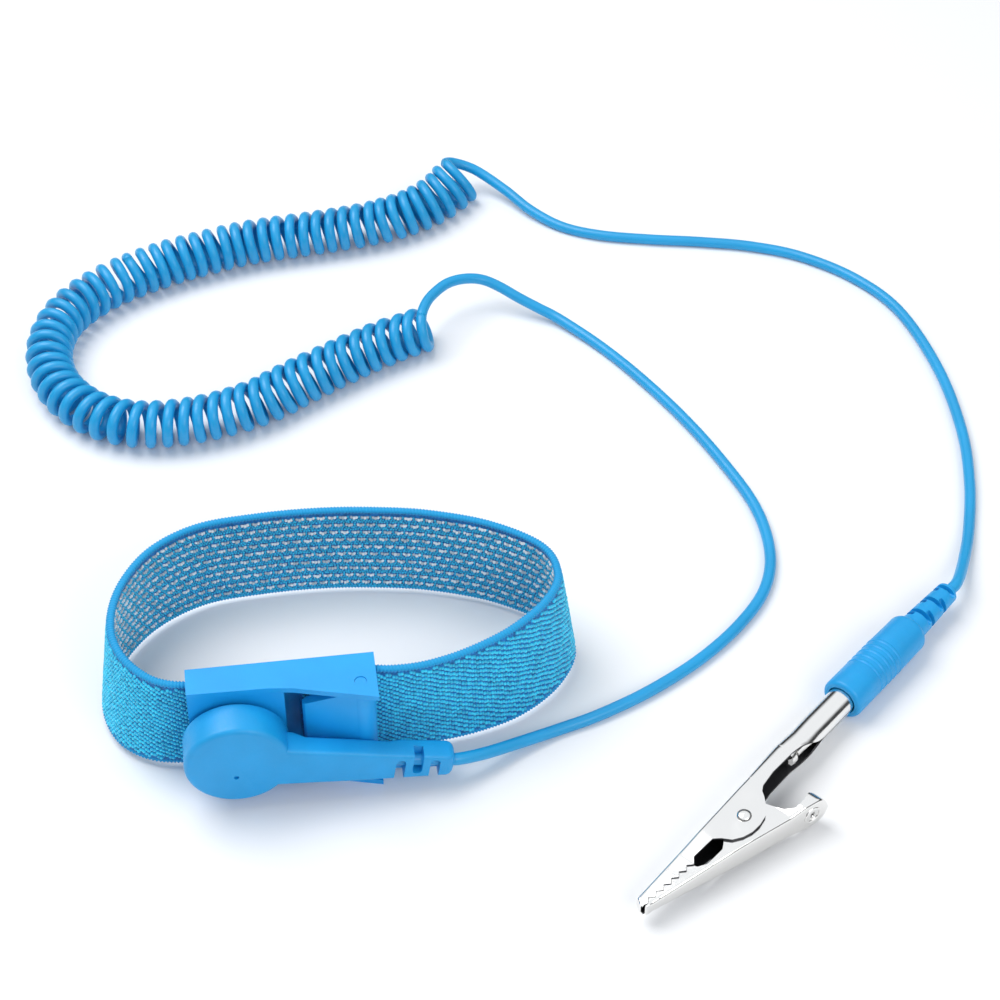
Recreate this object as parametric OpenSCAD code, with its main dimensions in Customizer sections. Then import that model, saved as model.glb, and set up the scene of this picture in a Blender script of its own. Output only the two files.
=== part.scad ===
// Anti-static wrist strap: an elastic wristband with a lever buckle, a press-stud cord head with its
// resistor, a coiled cord, and a banana plug that carries an alligator clip.
// Millimetres. X runs along the buckle towards its lever, Y points from the buckle's face towards
// the wrist, Z is up. The origin is on the bench, below the snap's axis, at the buckle's skin side.

/* [Wristband] */
// Height of the elastic band as it stands on its edge
band_w = 20.6; // [19:0.2:21]
// Thickness of the elastic band
band_t = 1.6; // [1.2:0.1:1.6]
// How far the band's lower edge stands out from its middle at the sides of the wrist
side_lean = 1.5; // [0:0.1:2.5]

/* [Buckle] */
// Overall height of the buckle
buckle_h = 23; // [23:0.5:26]
// Depth of the buckle at its plain end
buckle_d = 6.2; // [6:0.1:7]
// Depth of the buckle's cheeks at the lever's pivot end
cheek_d = 10.8; // [10:0.1:11.5]
// Radius of the lever's pivot pins
pivot_r = 1.0; // [0.8:0.1:1.2]

/* [Snap head] */
// Diameter of the round snap head
head_dia = 18.2; // [17.6:0.2:20]
// Front face of the snap head, measured from the buckle's skin side
head_front = 13.3; // [13.2:0.1:14]
// Angle by which the head's neck hangs down
head_droop = 8.5; // [0:0.5:10]

/* [Cord] */
// Outside diameter of the cord
cord_d = 2.2; // [1.8:0.1:2.2]
// Outside diameter of the coil
coil_od = 9.7; // [9:0.1:10.4]
// Number of turns in the coil
coil_turns = 66; // [50:1:70]

/* [Plug] */
// Diameter of the plug's moulded grip
grip_dia = 7.9; // [7.6:0.1:7.9]
// Diameter of the plug's spring at its widest
plug_dia = 4.24; // [4:0.04:4.24]

/* [Alligator clip] */
// Outside diameter of the clip's barrel
barrel_dia = 5.2; // [5.1:0.05:5.2]
// Sheet thickness of the clip
sheet_t = 0.4; // [0.3:0.05:0.4]
// Number of teeth on each jaw
jaw_teeth = 6; // [4:1:8]

/* [Hidden] */
$fn = 48;
axis_z = buckle_h / 2;
cheek_t = 1.1;
wall_back = 1.4;
buckle_x0 = -7.5;
buckle_x1 = 24.7;
pivot_x = 21.9;
pivot_y = -6.8;
slot_x = 8.9;
lever_x0 = 11.8;
band_y = -1.5 - band_t / 2;
band_end_x = 11.5;
head_back = -6.9;
neck_z = -0.6;
neck_axis_y = -11.1;
neck_end = 37.4;
cord_r = cord_d / 2;
coil_r = (coil_od - cord_d) / 2;
coil_z = coil_od / 2;
core_r = 0.5;
clip_tip = [63.3, -45.7];
clip_turn = 42.5;
plug_axis_z = 4.05;
rivet_u = 24.9;
rivet_v = -3.4;
barrel_ro = barrel_dia / 2;
barrel_ri = barrel_ro - sheet_t;
grip_u0 = 59.3;
grip_u1 = 81.6;
relief_u1 = 94.3;

// ---- curves and swept shapes ----

// A point on the smooth curve between b and c, with a and d as neighbours.
function curve_point(a, b, c, d, t) =
    0.5 * (2 * b + (c - a) * t + (2 * a - 5 * b + 4 * c - d) * t * t
           + (3 * b - a - 3 * c + d) * t * t * t);

// The smooth curve through all points; its first and last points only steer the ends.
function curve(pts, steps) =
    [for (i = [1 : len(pts) - 3])
        for (k = [0 : (i == len(pts) - 3 ? steps : steps - 1)])
            curve_point(pts[i - 1], pts[i], pts[i + 1], pts[i + 2], k / steps)];

function unit(v) = v / norm(v);

function direction(pts, i) =
    unit(pts[min(i + 1, len(pts) - 1)] - pts[max(i - 1, 0)]);

// Running length along a path, one value per point.
function running(pts) =
    [for (i = 0, s = 0; i < len(pts); i = i + 1,
          s = s + (i < len(pts) ? norm(pts[i] - pts[i - 1]) : 0)) s];

// Solid through equal rings of points, in order.
module skin(rings) {
    n = len(rings[0]);
    m = len(rings);
    polyhedron(
        points = [for (ring = rings) for (p = ring) p],
        faces = concat(
            [[for (k = [0 : n - 1]) k]],
            [for (i = [0 : m - 2]) for (k = [0 : n - 1])
                [i * n + k, (i + 1) * n + k, (i + 1) * n + (k + 1) % n]],
            [for (i = [0 : m - 2]) for (k = [0 : n - 1])
                [i * n + k, (i + 1) * n + (k + 1) % n, i * n + (k + 1) % n]],
            [[for (k = [n - 1 : -1 : 0]) (m - 1) * n + k]]),
        convexity = 12);
}

// Ring of points around p, across direction d; side_ref is a direction that never lies along d.
function ring_at(p, d, side_ref, r, sides) =
    let (a = unit(cross(d, side_ref)), b = cross(a, d))
    [for (k = [0 : sides - 1])
        p + r * (cos((k + 0.5) * 360 / sides) * a + sin((k + 0.5) * 360 / sides) * b)];

// Round cord along a path; first and last set the way its two ends face, where they matter.
module cord_along(pts, r, sides, first = undef, last = undef) {
    end = len(pts) - 1;
    skin([for (i = [0 : end])
        let (d = i == 0 && first != undef ? first
                 : i == end && last != undef ? last : direction(pts, i))
        ring_at(pts[i], d, [0, 0, 1], r, sides)]);
}

// ---- places ----

// A point of the drooping snap head, given in the head's own frame.
function head_point(x, y, z) =
    [x * cos(head_droop) + z * sin(head_droop), y,
     axis_z - x * sin(head_droop) + z * cos(head_droop)];

// A point of the plug and clip, u along the plug from the clip's tip, v across it.
function plug_point(u, v, w) =
    [clip_tip.x + u * cos(clip_turn) - v * sin(clip_turn),
     clip_tip.y + u * sin(clip_turn) + v * cos(clip_turn), plug_axis_z + w];

module at_head() {
    translate([0, 0, axis_z]) rotate([0, head_droop, 0]) children();
}

module at_plug() {
    translate([clip_tip.x, clip_tip.y, plug_axis_z]) rotate([0, 0, clip_turn]) children();
}

// Turned shape whose axis is the snap's axis; the outline gives radius and depth towards -Y.
module turned_y() {
    rotate([90, 0, 0]) rotate_extrude() children();
}

// Turned shape whose axis is the plug's axis; the outline gives radius and u.
module turned_u() {
    rotate([90, 0, 90]) rotate_extrude() children();
}

// Cylinder along -Y from depth y0 to y1.
module pin_y(r, y0, y1) {
    translate([0, y0, 0]) rotate([90, 0, 0]) cylinder(h = y0 - y1, r = r);
}

// Cylinder along X.
module pin_x(r, x0, x1) {
    translate([x0, 0, 0]) rotate([0, 90, 0]) cylinder(h = x1 - x0, r = r);
}

// ---- wristband ----

// Middle line of the band, from its fixed end in the buckle, round the wrist, to its free end.
band_line = [
    [9, band_y], [5.8, band_y], [-1, band_y], [-7.6, band_y], [-14.3, -0.3], [-19.4, 5],
    [-21.4, 13], [-19.2, 22], [-13.3, 30.4], [-4.3, 35.6], [7, 37], [18, 37], [28, 35.9],
    [38, 33.8], [49, 29.4], [57.8, 22.6], [60.4, 15.3], [57, 8.3], [50, 2.4], [42, -1.1],
    [34, -2.9], [27.5, -3.1], [22.5, band_y], [17, band_y], [band_end_x, band_y], [9, band_y]];

function ease(t) = let (c = min(max(t, 0), 1)) c * c * (3 - 2 * c);

// How far the lower edge stands out at a point of the loop with direction d: most at the wrist's
// two sides, nothing near the buckle and at the far side
function band_lean(p, d) =
    let (share = max(ease((p.y + 1) / 10), ease((buckle_x0 - 1 - p.x) / 12), ease((p.x - 29) / 26)))
    side_lean * share * (1 - ease(d.x));

module elastic_band() {
    path = curve(band_line, 5);
    half_h = band_w / 2;
    rings = [for (i = [0 : len(path) - 1])
        let (d = direction(path, i), n = [d.y, -d.x] * band_t / 2,
             f = [-d.y, d.x] * band_lean(path[i], d))
        [for (c = [[1, 1], [1, -1], [-1, -1], [-1, 1]])
            [path[i].x + c[0] * n.x - c[1] * f.x, path[i].y + c[0] * n.y - c[1] * f.y,
             axis_z + c[1] * half_h]]];
    color("DeepSkyBlue") difference() {
        skin(rings);
        translate([0, 1, axis_z]) pin_y(1.5, 0, -6);
    }
}

module cheek() {
    linear_extrude(cheek_t)
        polygon([[buckle_x0, 0], [buckle_x1, 0], [buckle_x1, -cheek_d],
                 [slot_x + 1.5, -buckle_d - 0.8], [slot_x - 2.5, -buckle_d - 0.3],
                 [buckle_x0, -buckle_d]]);
}

module buckle_body() {
    front_t = 2;
    inner_h = buckle_h - 2 * cheek_t;
    color("DodgerBlue") difference() {
        union() {
            cheek();
            translate([0, 0, buckle_h - cheek_t]) cheek();
            translate([buckle_x0, -wall_back, 0]) cube([buckle_x1 - buckle_x0, wall_back, buckle_h]);
            translate([buckle_x0, -buckle_d, 0]) cube([slot_x - buckle_x0, front_t, buckle_h]);
        }
        // pivot holes for the lever
        translate([pivot_x, pivot_y, -1]) cylinder(h = buckle_h + 2, r = pivot_r + 0.05);
        // hole for the snap's rivet through both walls
        translate([0, 0, axis_z]) pin_y(1.5, 1, -buckle_d - 1);
        // seat of the contact plate in the skin side
        translate([-6.4, -0.3, 2.4]) cube([29, 1, buckle_h - 4.8]);
        // chamfers on the long outer edges of the skin side
        for (z = [0, buckle_h])
            translate([buckle_x0 - 1, 0, z]) rotate([45, 0, 0])
                translate([0, -0.35, -0.35]) cube([buckle_x1 - buckle_x0 + 2, 0.7, 0.7]);
    }
    // ribs on the back wall's ends, which guide the band's edges
    color("DodgerBlue") for (z = [cheek_t, buckle_h - cheek_t - 0.1])
        translate([slot_x - 3, -buckle_d + front_t, z]) cube([3, 0.8, 0.1]);
}

module buckle_lever() {
    h = buckle_h - 2 * cheek_t - 0.4;
    hub_r = 2.45;
    tooth_r = 3.6;
    teeth = 4;
    color("DodgerBlue") {
        translate([0, 0, cheek_t + 0.2]) intersection() {
            linear_extrude(h) union() {
                translate([pivot_x, pivot_y]) circle(r = hub_r);
                // finger plate
                polygon([[pivot_x, pivot_y - hub_r], [lever_x0 + 0.4, -7.2], [lever_x0, -6.8],
                         [lever_x0, -6.1], [lever_x0 + 0.6, -5.8], [pivot_x - 1.5, pivot_y + 1.6]]);
                // teeth that bite the band
                for (k = [0 : teeth - 1])
                    translate([pivot_x, pivot_y]) rotate(70 + k * 16)
                        polygon([[1.5, -0.9], [2.4, -0.5], [tooth_r, 0], [2.4, 0.5], [1.5, 0.9]]);
            }
            // the finger plate's corners are cut back towards its free end
            translate([0, 1, 0]) rotate([90, 0, 0]) linear_extrude(12)
                polygon([[lever_x0 - 1, 2.9], [lever_x0, 2.9], [lever_x0 + 7, 0],
                         [pivot_x + hub_r + 1, 0], [pivot_x + hub_r + 1, h], [lever_x0 + 7, h],
                         [lever_x0, h - 2.9], [lever_x0 - 1, h - 2.9]]);
        }
        translate([pivot_x, pivot_y, 0.15]) cylinder(h = 1.5, r = pivot_r);
        translate([pivot_x, pivot_y, buckle_h - 1.65]) cylinder(h = 1.5, r = pivot_r);
    }
}

module contact_plate() {
    color("Silver") difference() {
        translate([-6.3, -0.3, 2.5]) cube([28.8, 0.5, buckle_h - 5]);
        translate([0, 0, axis_z]) pin_y(1.5, 1, -1);
        // seat that leaves the rivet's head level with the plate
        translate([0, 0, axis_z]) pin_y(3.4, 1, -0.05);
        // corners cut off so that nothing sharp meets the skin
        for (x = [-6.3, 22.5], z = [2.5, buckle_h - 2.5])
            translate([x, 1, z]) rotate([90, 45, 0]) translate([-1, -1, 0]) cube([2, 2, 2]);
    }
}

// Male half of the snap, fixed to the buckle's face; depths are measured towards -Y.
module snap_stud() {
    b = buckle_d;
    color("Silver") translate([0, 0, axis_z]) turned_y()
        polygon([[1.45, b], [4.9, b], [4.9, b + 0.35], [4.7, b + 0.5], [2.1, b + 0.5],
                 [2.1, b + 1.9], [1.75, b + 2.2], [1.75, b + 3.1], [2.1, b + 3.4],
                 [2.1, b + 3.9], [1.8, b + 4.3], [1.45, b + 4.3]]);
}

module stud_rivet() {
    color("Gainsboro") translate([0, 0, axis_z]) turned_y()
        polygon([[0, -0.2], [3.1, -0.2], [3.3, 0], [3.3, 0.05], [1.4, 0.05],
                 [1.4, buckle_d + 3.6], [1.1, buckle_d + 4], [0, buckle_d + 4]]);
}

// ---- snap head ----

// Side outline of the neck, in the head's own X and Z.
module neck_side() {
    polygon([[5, neck_z + 4.6], [12, neck_z + 4.1], [20, neck_z + 3.65], [26, neck_z + 3.15],
             [neck_end, neck_z + 2.45], [neck_end, neck_z - 2.45], [26, neck_z - 3.15],
             [20, neck_z - 3.65], [12, neck_z - 4.1], [5, neck_z - 4.6]]);
}

// Top outline of the neck, in the head's own X and Y.
module neck_top() {
    polygon([[5, -8.2], [9.2, -8.3], [11.5, -9.3], [25.6, -9.4], [27, -8.9], [neck_end, -8.7],
             [neck_end, -head_front + 0.3], [26, -head_front + 0.1], [5, -head_front]]);
}

module neck_solid() {
    intersection() {
        translate([0, 0, neck_z - 6]) linear_extrude(12) neck_top();
        rotate([90, 0, 0]) linear_extrude(head_front + 2) neck_side();
    }
}

module snap_cover() {
    head_r = head_dia / 2;
    window = 1.7;
    window_depth = head_front - 10.2;
    color("DodgerBlue") at_head() difference() {
        union() {
            turned_y() polygon([[0, -head_back], [head_r - 0.3, -head_back],
                                [head_r, -head_back + 0.3], [head_r, head_front - 1],
                                [head_r - 0.3, head_front - 0.3], [head_r - 1, head_front],
                                [0, head_front]]);
            neck_solid();
        }
        // room for the inner mould and its spout
        pin_y(head_r - 1.2, head_back + 1, -head_front + 1.1);
        translate([0, neck_axis_y, neck_z]) pin_x(1.55, 0, 20.5);
        // bore for the cord, with its gate mark on the face
        translate([0, neck_axis_y, neck_z]) pin_x(cord_r + 0.1, 20, neck_end + 1);
        translate([0, 0, -2.8]) pin_y(0.45, -head_front + 0.5, -head_front - 1);
        // windows of the strain relief, open to the bottom edge, then the top edge
        for (x = [28, 34])
            translate([x - window / 2, -head_front - 1, neck_z - 6])
                cube([window, window_depth + 1, 7.8]);
        translate([31 - window / 2, -head_front - 1, neck_z - 1.5])
            cube([window, window_depth + 1, 7.5]);
    }
}

module inner_mould() {
    r = head_dia / 2 - 1.2;
    color("DimGray") at_head() difference() {
        turned_y() polygon([[0, -head_back], [r, -head_back], [r, head_front - 1.1],
                            [0, head_front - 1.1]]);
        // seat of the socket
        pin_y(5.2, head_back + 1, head_back - 0.4);
        pin_y(3.3, head_back + 1, head_back - 4.4);
        // tunnel for the resistor's wire
        translate([0, neck_axis_y, neck_z]) pin_x(1.55, 0, 10);
    }
}

module snap_socket() {
    b = -head_back;
    color("Silver") at_head() turned_y()
        polygon([[2.15, b], [5.2, b], [5.2, b + 0.4], [3.3, b + 0.4], [3.3, b + 4.4], [0, b + 4.4],
                 [0, b + 4.0], [2.15, b + 4.0], [2.15, b + 2.45], [2.6, b + 2.45],
                 [2.6, b + 1.45], [2.15, b + 1.45]]);
}

module socket_spring() {
    wire_r = 0.3;
    color("Gainsboro") translate([0, -buckle_d - 2.65, axis_z]) rotate([90, 0, 0])
        rotate([0, 0, 20]) rotate_extrude(angle = 320) translate([2.1, 0]) circle(r = wire_r);
}

// ---- resistor and splice, inside the neck ----

module at_resistor() {
    at_head() translate([0, neck_axis_y, neck_z]) children();
}

resistor_x0 = 10.2;
resistor_x1 = 16;

module resistor_body() {
    color("Tan") at_resistor() difference() {
        union() {
            pin_x(0.95, resistor_x0, resistor_x1);
            pin_x(1.1, resistor_x0, resistor_x0 + 1.3);
            pin_x(1.1, resistor_x1 - 1.3, resistor_x1);
        }
        pin_x(0.3, resistor_x0 - 1, resistor_x0 + 0.8);
        pin_x(0.3, resistor_x1 - 0.8, resistor_x1 + 1);
    }
}

module resistor_bands() {
    color("Black") at_resistor() for (x = [resistor_x0 + 1.9, resistor_x0 + 2.7, resistor_x0 + 3.5])
        difference() {
            pin_x(1.02, x, x + 0.4);
            pin_x(0.95, x - 0.1, x + 0.5);
        }
}

module resistor_leads() {
    color("Silver") at_resistor() {
        pin_x(0.3, 3.4, resistor_x0 + 0.8);
        pin_x(0.3, resistor_x1 - 0.8, 19.4);
    }
}

module heat_shrink() {
    color("Black") at_resistor() difference() {
        pin_x(1.5, resistor_x0 - 0.6, resistor_x1 + 0.6);
        pin_x(1.12, resistor_x0 - 1, resistor_x1 + 1);
    }
}

module splice_sleeve() {
    color("Silver") at_resistor() difference() {
        pin_x(0.95, 17.2, 21.2);
        pin_x(0.3, 17, 19.4);
        pin_x(core_r, 19.3, 22);
    }
}

module snap_lead_core() {
    color("Peru") at_resistor() pin_x(core_r, 19.45, 23.8);
}

// ---- cord ----

// Middle line of the coil on the bench: lower run, turn at the left, upper run.
coil_line = [
    [51, 108.7], [45.4, 105.4], [37.2, 102.2], [27.5, 97.4], [17.9, 91.9], [8.6, 86.5],
    [-0.7, 83.6], [-9.7, 82.7], [-17, 83.8], [-23.5, 87.3], [-28.6, 92.9], [-31.6, 99.4],
    [-32.6, 106.5], [-31.5, 113.8], [-28.3, 120.2], [-22.8, 125.8], [-16.7, 129.8], [-8.2, 133.7],
    [0, 136.3], [9, 138.6], [18, 139.7], [27, 140.6], [37, 142.1], [46, 145.1], [52.6, 149.6],
    [58.1, 156], [62.5, 161.6]];
coil_path = curve(coil_line, 8);
coil_run = running(coil_path);
coil_len = coil_run[len(coil_run) - 1];
coil_xs = [for (i = [0 : len(coil_path) - 1]) [coil_run[i], coil_path[i].x]];
coil_ys = [for (i = [0 : len(coil_path) - 1]) [coil_run[i], coil_path[i].y]];

// The turns sit closer together on the two straight runs than round the bend at the left.
turn_share = [[0, 0], [0.3, 0.305], [0.61, 0.593], [0.95, 0.955], [1, 1]];
turn_places = [for (p = turn_share) [p[1], p[0]]];
coil_start = 8;
coil_stop = 360 * coil_turns + 20;

function on_coil_line(s) = [lookup(s, coil_xs), lookup(s, coil_ys), coil_z];

// Along the coil: how far the turns are swung round from square, in degrees, and how far they lean.
turn_swing = [[0, -32], [0.2, -24], [0.31, 0], [0.72, 0], [0.88, -14], [1, -20]];
turn_lean = [
    [0, 0.35], [0.06, 0.42], [0.15, 0.5], [0.19, 0.42], [0.24, 0.22], [0.3, 0.05], [0.5, 0],
    [0.58, 0.12], [0.66, 0.33], [0.72, 0.2], [0.82, 0.22], [0.88, 0.32], [0.94, 0.5], [1, 0.7]];

function turn_place(angle) =
    lookup((angle - coil_start) / (coil_stop - coil_start), turn_places) * coil_len;

// Where a turn faces, at distance s along the coil
function turn_face(s) =
    let (t = unit(on_coil_line(s + 1.5) - on_coil_line(s - 1.5)), w = lookup(s / coil_len, turn_swing))
    [t.x * cos(w) - t.y * sin(w), t.x * sin(w) + t.y * cos(w), 0];

// Left-handed helix: over the top, down the side on the left of the way along, up the other side.
function coil_point(angle) =
    let (s = turn_place(angle), up = [-lookup(s / coil_len, turn_lean), 0, 1],
         n = cross(turn_face(s), [0, 0, 1]))
    on_coil_line(s) + coil_r * (cos(angle) * up - sin(angle) * n);

coil_steps = 12 * coil_turns - 1;
coil_step = (coil_stop - coil_start) / coil_steps;

module coil() {
    angles = [for (i = [0 : coil_steps]) coil_start + i * coil_step];
    pts = [for (a = angles) coil_point(a)];
    color("DeepSkyBlue") skin([for (i = [0 : coil_steps])
        ring_at(pts[i], direction(pts, i), turn_face(turn_place(angles[i])), cord_r, 6)]);
}

// The path from the snap head to the coil's first turn.
module snap_lead() {
    a0 = coil_start;
    pts = concat(
        [for (x = [20, 23.8, 27, 30.5, 34, 36.5, 38.6]) head_point(x, neck_axis_y, neck_z)],
        [[43, -9.3, 3.9], [49.5, -6.2, 2.2], [57, -3.2, cord_r], [64.5, -0.8, cord_r],
         [74.3, 3.6, cord_r], [84.6, 9.9, cord_r], [93.5, 17.5, cord_r], [100, 25.8, cord_r],
         [103.1, 35.5, cord_r], [102.8, 48, cord_r], [98.8, 62, cord_r], [93.5, 75.5, cord_r],
         [87, 88.6, cord_r], [80.6, 99.3, cord_r],
         [73.5, 108, 1.8], [69, 111.2, 3], [65.3, 113.4, 4.3], [61.8, 115.7, 5.6],
         [58.3, 117.1, 6.8], [54.5, 116.6, 7.9], [50.6, 114.6, 8.7], [47.3, 111.1, 9.1],
         [45.3, 108.2, 9]],
        [coil_point(a0), coil_point(a0 + 40)]);
    color("DeepSkyBlue") cord_along(curve(pts, 4), cord_r, 8,
                                    last = unit(coil_point(a0 + coil_step) - coil_point(a0)));
}

// The path from the coil's last turn to the plug.
module plug_lead() {
    a1 = coil_stop;
    pts = concat(
        [coil_point(a1 - 30), coil_point(a1)],
        [[57.2, 158.6, 7.1], [61.9, 157.9, 5.1], [67.6, 152.8, 3.1], [72.7, 146.1, 1.8],
         [78.8, 140.3, cord_r], [86.6, 136.2, cord_r], [97.2, 133.3, cord_r], [107.9, 131, cord_r], [118.6, 128, cord_r], [128.8, 123, cord_r],
         [138.6, 114, cord_r], [145.3, 102, cord_r], [148.6, 83, cord_r], [148.4, 64, cord_r],
         [145.9, 49, cord_r], [142.3, 36.5, cord_r], [138.6, 27.2, 2.2]],
        [for (u = [97.5, 94, 90, 86, 82.2, 80]) plug_point(u, 0, 0)]);
    color("DeepSkyBlue") cord_along(curve(pts, 4), cord_r, 8,
                                    first = unit(coil_point(a1) - coil_point(a1 - coil_step)));
}

// ---- banana plug ----

module plug_lead_core() {
    color("Peru") at_plug() pin_x(core_r, 78, 82.2);
}

module plug_crimp() {
    color("Silver") at_plug() difference() {
        pin_x(1.5, 77, 81);
        pin_x(0.8, 76.5, 78);
        pin_x(core_r, 77, 82);
    }
}

module plug_grip() {
    grip_r = grip_dia / 2;
    ridge = 0.15;
    ridges = [for (k = [0 : 4]) 66.6 + 1.55 * k];
    side = concat(
        [[0, grip_u0], [grip_r - 0.6, grip_u0], [grip_r - 0.1, grip_u0 + 0.5]],
        [for (u = ridges) for (p = [[-0.15, u - 0.3], [0, u - 0.15], [0, u + 0.15], [-0.15, u + 0.3]])
            [grip_r + p[0], p[1]]],
        [[grip_r - 0.15, 79], [grip_r - 0.5, 80.6], [2.9, grip_u1], [2.6, grip_u1],
         [2.05, relief_u1], [0, relief_u1]]);
    color("DodgerBlue") at_plug() difference() {
        turned_u() polygon(side);
        // mouth for the clip's barrel, seat of the plug's body, bore for the cord
        pin_x(barrel_ro + 0.08, grip_u0 - 1, 67);
        pin_x(2.5, 66.5, 77);
        pin_x(1.5, 76.5, 81);
        pin_x(cord_r + 0.1, 80.5, relief_u1 + 1);
        // windows of the strain relief, in turn from each side
        for (k = [0 : 4]) {
            side_v = k % 2 == 0 ? 0.7 : -4.7;
            translate([83 + 2.1 * k, side_v, -4]) cube([1.1, 4, 8]);
        }
    }
}

module plug_pin() {
    color("Silver") at_plug() difference() {
        turned_u() polygon([[0, 41.5], [1.1, 41.5], [1.8, 42], [1.9, 42.6], [1.9, 43.2], [1.2, 43.6],
                            [1.2, 64.6], [2, 64.6], [2, 67.2], [2.5, 67.4], [2.5, 76.6],
                            [2.2, 77], [0.8, 77], [0.8, 78], [0, 78]]);
        // flats of the knurled body
        for (k = [0 : 11])
            rotate([30 * k, 0, 0]) translate([68.5, 2.42, -0.15]) cube([6.5, 0.3, 0.3]);
    }
}

module plug_spring() {
    leaves = 4;
    bow_r = plug_dia / 2;
    color("Gainsboro") at_plug() {
        intersection() {
            difference() {
                turned_u() polygon([[1.25, 44], [1.5, 44], [1.55, 45.6], [bow_r, 50], [bow_r, 58],
                                    [1.55, 62.6], [1.5, 64.2], [1.25, 64.2], [1.3, 62.4],
                                    [bow_r - 0.25, 57.8], [bow_r - 0.25, 50.2], [1.3, 45.8]]);
                for (k = [0 : leaves - 1])
                    rotate([45 + 90 * k, 0, 0]) translate([46.2, 0, -0.35]) cube([15.8, 4, 0.7]);
            }
            pin_x(3, 43, 66);
        }
    }
}

// ---- alligator clip ----

tooth_u0 = 1.2;
tooth_u1 = 11.8;

// Zigzag line where the two jaws meet; gap moves it up or down.
function tooth_line(gap) =
    [for (k = [0 : 2 * jaw_teeth])
        let (t = k / (2 * jaw_teeth))
        [tooth_u0 + (tooth_u1 - tooth_u0) * t, -0.9 - 1.45 * t + (k % 2 == 0 ? -0.38 : 0.38) + gap]];

function backwards(pts) = [for (i = [len(pts) - 1 : -1 : 0]) pts[i]];

module upper_side(inset) {
    i = inset;
    polygon(concat(
        [[0.3, -0.1], [1, 0.95 - i], [13.8, 0.85 - i], [24, 0.95 - i], [32, 1.2 - i], [41, 2.3 - i],
         [50, barrel_ro - i], [50, -barrel_ro], [48.5, -barrel_ro], [45.5, -2], [41.8, -1.5],
         [35.9, -1.5], [32.3, -2], [31.2, -2.6], [30.4, -3.6], [29, -5], [27.2, -6.2],
         [25, -6.6], [23, -6.5], [21.2, -5.9], [19.6, -4.8], [18.7, -3.2], [17.7, -2.1],
         [13, -1.75]],
        backwards(tooth_line(0.05)), [[0.5, -0.95]]));
}

// Plan outline of the upper jaw: u along it, w across it.
module upper_plan(inset) {
    i = inset;
    polygon([[0, 1.2 - i], [18, 2.9 - i], [24.5, 3.2 - i], [30, 3.2 - i], [44, 2.75 - i],
             [51, barrel_ro - i], [51, -barrel_ro + i], [44, -2.75 + i], [30, -3.2 + i],
             [24.5, -3.2 + i], [18, -2.9 + i], [0, -1.2 + i]]);
}

module plan_cut(y0, y1) {
    translate([0, y1, 0]) rotate([90, 0, 0]) linear_extrude(y1 - y0) children();
}

module clip_upper_jaw() {
    color("Silver") at_plug() difference() {
        union() {
            intersection() {
                translate([0, 0, -4]) linear_extrude(8) upper_side(0);
                plan_cut(-10, 5) upper_plan(0);
            }
            pin_x(barrel_ro, 48.5, 66.2);
        }
        // hollow of the folded sheet, open on the side of the other jaw
        intersection() {
            translate([-1, 0, -4]) linear_extrude(8)
                polygon([[1.6, -12], [1.6, 0.55], [14.8, 0.85 - sheet_t], [25, 0.95 - sheet_t],
                         [33, 1.2 - sheet_t], [42, 2.3 - sheet_t], [51, barrel_ri - 0.1],
                         [51, -12]]);
            plan_cut(-10, 5) upper_plan(sheet_t);
        }
        pin_x(barrel_ri, 48, 67);
        translate([rivet_u, rivet_v, -5]) cylinder(h = 10, r = 0.95);
    }
}

module lower_side() {
    polygon(concat(
        [[0.4, -1.2]], tooth_line(-0.05),
        [[11.9, -3.3], [13.4, -4.3], [17.3, -4.5], [18.4, -3.9], [20.5, -2.5], [22, -1.7],
         [27, -1.7], [28.5, -2.6], [29.7, -4.5], [30.6, -7.6], [32, -9.1], [34, -9.2],
         [36.1, -8.8], [37.3, -9.6], [37.9, -11.2], [37.9, -11.9], [0.9, -1.62]]));
}

module lower_plan(inset) {
    i = inset;
    end = 35.2;
    r = 3.2 - i;
    polygon(concat(
        [[0, 1.15 - i], [18, 2.45 - i], [22, 2.6 - i], [30, 2.6 - i], [33, r]],
        [for (a = [80 : -20 : -80]) [end + 2.75 * cos(a), r * sin(a)]],
        [[33, -r], [30, -2.6 + i], [22, -2.6 + i], [18, -2.45 + i], [0, -1.15 + i]]));
}

module clip_lower_jaw() {
    slope = (11.9 - 1.62) / 37;
    color("Silver") at_plug() difference() {
        intersection() {
            translate([0, 0, -4]) linear_extrude(8) lower_side();
            plan_cut(-14, 1) lower_plan(0);
        }
        // hollow of the folded sheet, open on the side of the other jaw
        intersection() {
            translate([0, 0, -4]) linear_extrude(8)
                polygon([[1.6, 2], [1.6, -1.62 - slope * 0.7 + sheet_t],
                         [40, -1.62 - slope * 39.1 + sheet_t], [40, 2]]);
            plan_cut(-14, 2) lower_plan(sheet_t);
        }
        translate([rivet_u, rivet_v, -5]) cylinder(h = 10, r = 0.95);
        // small hole in the thumb pad
        translate([34.6, -9, 0]) rotate([90, 0, 0]) cylinder(h = 5, r = 0.6);
    }
}

module clip_rivet() {
    grip_h = 3.22;
    color("Gainsboro") at_plug() translate([rivet_u, rivet_v, 0]) rotate_extrude()
        polygon([[0, -grip_h - 0.6], [0.7, -grip_h - 0.5], [1.2, -grip_h - 0.2], [1.3, -grip_h],
                 [0.9, -grip_h], [0.9, grip_h], [1.3, grip_h], [1.2, grip_h + 0.2],
                 [0.7, grip_h + 0.5], [0, grip_h + 0.6]]);
}

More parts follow.
